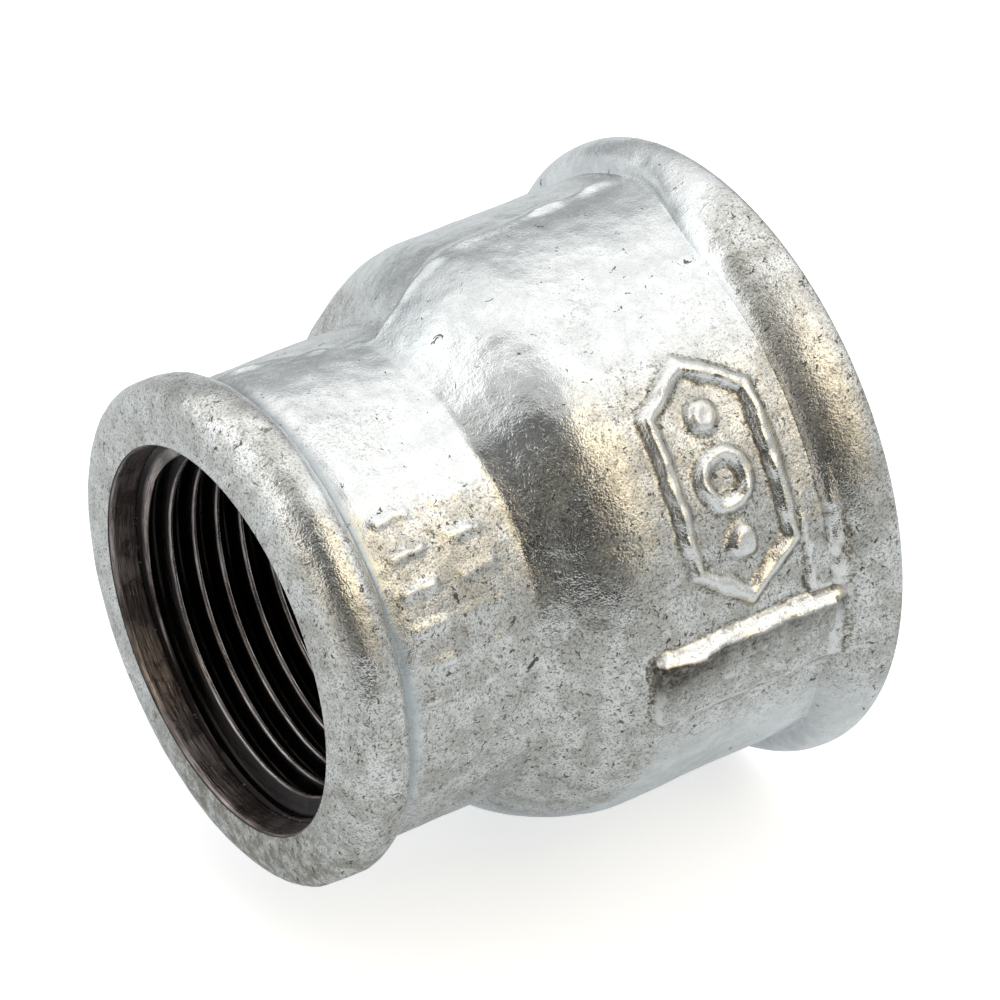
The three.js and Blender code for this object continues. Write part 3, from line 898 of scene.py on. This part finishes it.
def zinc_material():
    """Hot-dip zinc over a sand-cast skin: grainy, mottled and nicked, with dirt and painted shade
    in its hollows and under its ribs, painted shade in the bead's groove, and painted highlight on
    rubbed crests and rib walls.
    """
    material, nodes = new_material("galvanised_zinc")
    ramp, times, mix = nodes.ramp, nodes.times, nodes.mix
    place = nodes.millimetres()
    patches = nodes.noise(place, 8.0, detail=3.0, roughness=0.55)
    mottle = nodes.noise(place, 1.9, detail=4.0, roughness=0.6)
    grain = nodes.noise(place, 0.34, detail=2.0, roughness=0.65)
    fine_grain = nodes.noise(place, 0.17, detail=1.0, roughness=0.5)
    stained = nodes.attribute("stained")
    grime = nodes.attribute("grime")
    # Raised crests and rib walls: rubbed metal with a painted highlight, and a smoother skin.
    crest = nodes.most(nodes.attribute("crest"), nodes.attribute("wall"))

    # How coarse the skin is, and the nicks in it.
    coarse = nodes.plus(ramp(patches, 0.48, 0.64, to=(0.0, 0.35)), times(stained, 0.9), True)
    coarse = times(coarse, ramp(crest, 0.2, 0.8, to=(1.0, 0.45)))
    few = nodes.cracks(place, 1.1, 0.335)
    many = times(nodes.cracks(place, 0.62, 0.385), coarse)
    nicks = nodes.most(few, many)

    # Dirt and painted shade beside raised edges, dirt in a film over the coarse skin, and dirt
    # ground in under the small end.
    edge_dirt_and_shade = ramp(nodes.attribute("hollow"), 0.35, 0.95)
    edge_dirt_and_shade = times(edge_dirt_and_shade, ramp(mottle, 0.36, 0.56, to=(0.15, 1.0)))
    edge_dirt_and_shade = times(edge_dirt_and_shade, ramp(grain, 0.62, 0.44, to=(0.35, 1.0)))
    dirt_patch = ramp(nodes.noise(place, 2.6, detail=5.0, roughness=0.7), 0.38, 0.62)
    film_share = nodes.plus(times(grime, 0.35), 0.46)
    film = times(coarse, times(dirt_patch, film_share))
    blotches = ramp(nodes.noise(place, 1.3, detail=4.0, roughness=0.7), 0.36, 0.62, to=(0.22, 0.90))
    dirt_and_shade = nodes.most(edge_dirt_and_shade, nodes.most(film, times(grime, blotches)))
    rubbed = ramp(nodes.noise(place, 0.5, detail=3.0, roughness=0.7), 0.62, 0.42, to=(0.78, 1.0))
    soot_and_shade = times(ramp(nodes.attribute("soot_and_shade"), 0.05, 0.62), rubbed)
    specks = times(ramp(fine_grain, 0.58, 0.30), ramp(coarse, 0.0, 1.0, to=(0.14, 0.66)))
    grits = times(ramp(grain, 0.50, 0.30), ramp(coarse, 0.0, 1.0, to=(0.12, 0.72)))

    tone = nodes.plus(times(patches, 0.45), times(mottle, 0.55))
    colour = mix(ramp(tone, 0.38, 0.62), ZINC_DARK, ZINC_LIGHT)
    colour = mix(times(stained, 0.55), colour, ZINC_STAINED)
    colour = mix(specks, colour, ZINC_SPECK)
    colour = mix(grits, colour, ZINC_GRIT)
    # Dirt, and painted shade beside raised edges.
    colour = mix(times(dirt_and_shade, 0.85), colour, ZINC_DIRT)
    colour = mix(times(nicks, 0.88), colour, ZINC_NICK)
    # Raised crests lighter as rubbed metal, with a painted highlight on them and on the rib walls.
    colour = mix(times(ramp(crest, 0.3, 0.9), 0.5), colour, ZINC_RUBBED_AND_HIGHLIGHT)
    # Dark dirt and painted shade under the ribs.
    colour = mix(times(soot_and_shade, 0.95), colour, ZINC_SOOT_AND_SHADE)
    # Dull grey zinc beside the joint, and painted shade in the groove behind the small bead.
    colour = mix(times(nodes.attribute("dull_and_groove_shade"), 0.75), colour, ZINC_DULL_AND_SHADE)

    roughness = ramp(patches, 0.35, 0.65, to=(0.17, 0.26))
    roughness = nodes.plus(roughness, times(dirt_and_shade, 0.25), True)

    pimples = nodes.specks(place, spacing=0.55, radius=0.13)
    height = nodes.plus(times(grain, GRAIN_BUMP), times(fine_grain, FINE_GRAIN_BUMP))
    height = times(height, ramp(coarse, 0.0, 0.9, to=SKIN_BUMP))
    height = nodes.plus(height, times(mottle, MOTTLE_BUMP))
    height = nodes.plus(height, times(pimples, PIMPLE_BUMP))
    height = nodes.plus(height, times(nicks, -NICK_BUMP))
    finish_material(
        nodes, {"Base Color": colour, "Metallic": ZINC_METALLIC, "Roughness": roughness}, height
    )
    return material


def cut_metal_material():
    """Threads and mouths cut after dipping: dark oily iron and turning marks, with a painted
    highlight on the thread crests and painted shade in the roots and the cored middle.
    """
    material, nodes = new_material("cut_iron")
    ramp, times, mix = nodes.ramp, nodes.times, nodes.mix
    place = nodes.millimetres()
    rings = nodes.noise(nodes.millimetres(TURNING_MARKS), 1.0, detail=2.0, roughness=0.6)
    stain = nodes.noise(place, 4.0, detail=3.0, roughness=0.6)
    grain = nodes.noise(place, 0.3, detail=2.0, roughness=0.6)
    painted_light = nodes.attribute("painted_light")
    wall = mix(ramp(stain, 0.35, 0.65), IRON_DARK, IRON_LIGHT)
    wall = mix(ramp(rings, 0.42, 0.62, to=(0.0, 0.6)), wall, IRON_GROOVE)
    # Painted shade in thread roots and the cored middle, and a painted highlight on the crests.
    colour = mix(ramp(painted_light, 0.05, 0.40), IRON_ROOT_SHADE, wall)
    colour = mix(ramp(painted_light, 0.50, 0.95), colour, IRON_CREST_HIGHLIGHT)
    colour = mix(ramp(grain, 0.60, 0.75, to=(0.0, 0.4)), colour, IRON_SPOT)
    roughness = ramp(stain, 0.3, 0.7, to=(0.20, 0.36))
    height = nodes.plus(times(rings, IRON_RING_BUMP), times(grain, IRON_GRAIN_BUMP))
    finish_material(
        nodes, {"Base Color": colour, "Metallic": IRON_METALLIC, "Roughness": roughness}, height
    )
    return material


# --- studio ---------------------------------------------------------------------------------------
# Parts of the light tent are directions, in degrees, with the angles from them within which they
# are full and beyond which they are gone.

SIDE_LIGHT = dict(azimuth=-119, elevation=22, full=20, gone=42)
SIDE_LIGHT_STRENGTH = 0.56
LEVEL_HEIGHTS, LEVELS = (0.18, 0.80), (0.50, 1.48)  # the tent is brighter towards its top
DIM_PARTS = (
    (dict(azimuth=155, elevation=38, full=35, gone=75), 0.84),
    (dict(azimuth=-80, elevation=60, full=8, gone=36), 0.44),
)
TENT_TOP, TENT_FOOT = (1.0, 1.0, 1.0, 1), (0.97, 1.0, 1.03, 1)
TINT_HEIGHTS = (0.75, 0.2)
WARM_PARTS = (
    (dict(azimuth=2, elevation=42, full=12, gone=36), (1.22, 1.06, 0.80, 1)),
    (dict(azimuth=-82, elevation=8, full=6, gone=24), (1.12, 1.0, 0.82, 1)),
)
UPPER_OPENING = dict(azimuth=-54, elevation=36, full=17, gone=32)
UPPER_OPENING_DEPTH = 0.77
LOWER_OPENING = dict(azimuth=-36, elevation=12, full=18, gone=33)
OPENING_LEVEL = 0.03
WHITE = (1, 1, 1, 1)

FLOOR_HALF = 3.0  # metres
FLOOR_GAP = 0.05 * MM
FLOOR_SHOWN, FLOOR_SHOWN_LIFT = (0.90, 0.90, 0.90, 1), 0.50
FLOOR_REFLECTED = (0.45, 0.47, 0.49, 1)
FLOOR_REFLECTED_TINT, FLOOR_REFLECTED_LIFT = (0.94, 1.0, 1.06, 1), 0.30


def direction(azimuth, elevation):
    """A unit vector from an azimuth, 0 towards -Y and 90 towards +X, and an elevation."""
    a, e = math.radians(azimuth), math.radians(elevation)
    return Vector((math.sin(a) * math.cos(e), -math.cos(a) * math.cos(e), math.sin(e)))


def glow(nodes, sky, azimuth, elevation, full, gone):
    """1 within full degrees of a direction, 0 beyond gone."""
    aim = direction(azimuth, elevation)
    made = nodes.node("ShaderNodeVectorMath", {0: sky, 1: aim}, operation="DOT_PRODUCT")
    low, high = math.cos(math.radians(gone)), math.cos(math.radians(full))
    return nodes.ramp(made.outputs["Value"], low, high)


def lit_surface(nodes, colour, tint, strength):
    """A matt surface that also glows a little."""
    matt = nodes.node("ShaderNodeBsdfDiffuse", {"Color": colour}).outputs[0]
    lift = nodes.node("ShaderNodeEmission", {"Color": tint, "Strength": strength}).outputs[0]
    return nodes.node("ShaderNodeAddShader", {0: matt, 1: lift}).outputs[0]


def seen_directly(nodes, otherwise, direct):
    """One shader for what is seen directly, and another for what is reflected or lights things."""
    seen = nodes.node("ShaderNodeLightPath").outputs["Is Camera Ray"]
    return nodes.node("ShaderNodeMixShader", {0: seen, 1: otherwise, 2: direct}).outputs[0]


def studio_world():
    """A white light tent, open and dark on the front left, that shows plain white behind things."""
    world = bpy.data.worlds.new("light_tent")
    world.use_nodes = True
    bpy.context.scene.world = world
    nodes = Nodes(world.node_tree)
    sky = nodes.node("ShaderNodeTexCoord").outputs["Generated"]
    height = nodes.node("ShaderNodeSeparateXYZ", {0: sky}).outputs[2]
    level = nodes.ramp(height, *LEVEL_HEIGHTS, to=LEVELS)
    level = nodes.plus(level, nodes.times(glow(nodes, sky, **SIDE_LIGHT), SIDE_LIGHT_STRENGTH))
    for part, share in DIM_PARTS:
        dimmed = nodes.ramp(glow(nodes, sky, **part), 0.0, 1.0, to=(1.0, share))
        level = nodes.times(level, dimmed)
    colour = nodes.mix(nodes.ramp(height, *TINT_HEIGHTS), TENT_TOP, TENT_FOOT)
    for part, tint in WARM_PARTS:
        colour = nodes.mix(glow(nodes, sky, **part), colour, tint)
    upper_opening = nodes.times(glow(nodes, sky, **UPPER_OPENING), UPPER_OPENING_DEPTH)
    opening = nodes.most(upper_opening, glow(nodes, sky, **LOWER_OPENING))
    level = nodes.times(level, nodes.ramp(opening, 0.0, 1.0, to=(1.0, OPENING_LEVEL)))
    tent = nodes.node("ShaderNodeBackground", {"Color": colour, "Strength": level}).outputs[0]
    white = nodes.node("ShaderNodeBackground", {"Color": WHITE, "Strength": 1.0}).outputs[0]
    nodes.finish("ShaderNodeOutputWorld", seen_directly(nodes, tent, white))


def studio_floor():
    """A plain pale floor that reads white and reflects a soft grey."""
    size = FLOOR_HALF
    corners = [(-size, -size, 0), (size, -size, 0), (size, size, 0), (-size, size, 0)]
    mesh = bpy.data.meshes.new("floor")
    mesh.from_pydata(corners, [], [(0, 1, 2, 3)])
    floor = bpy.data.objects.new("floor", mesh)
    floor.location.z = FLOOR_Z - FLOOR_GAP
    bpy.context.scene.collection.objects.link(floor)
    material, nodes = new_material("white_floor")
    bounce = lit_surface(nodes, FLOOR_REFLECTED, FLOOR_REFLECTED_TINT, FLOOR_REFLECTED_LIFT)
    shown = lit_surface(nodes, FLOOR_SHOWN, WHITE, FLOOR_SHOWN_LIFT)
    nodes.finish("ShaderNodeOutputMaterial", seen_directly(nodes, bounce, shown))
    mesh.materials.append(material)


def studio_camera():
    """The camera, level, looking down at the small end from the front left."""
    data = bpy.data.cameras.new("camera")
    data.sensor_width = CAMERA_SENSOR
    data.lens = CAMERA_LENS
    data.clip_start, data.clip_end = CAMERA_CLIPS
    camera = bpy.data.objects.new("camera", data)
    bpy.context.scene.collection.objects.link(camera)
    camera.location = Vector(CAMERA_PLACE) * MM
    look = (Vector(CAMERA_TARGET) - Vector(CAMERA_PLACE)).normalized()
    camera.rotation_mode = "QUATERNION"
    camera.rotation_quaternion = look.to_track_quat("-Z", "Y")
    bpy.context.scene.camera = camera


# --- putting it together --------------------------------------------------------------------------

studio_camera()
studio_world()
studio_floor()

casting_data = casting_mesh()
casting_data.materials.append(zinc_material())
casting_data.materials.append(cut_metal_material())
tidy_mesh(casting_data)
casting = bpy.data.objects.new("reducer_casting", casting_data)
bpy.context.scene.collection.objects.link(casting)
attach(casting, "root")
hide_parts(CAD_NODE)

bpy.context.scene.view_settings.view_transform = "Standard"
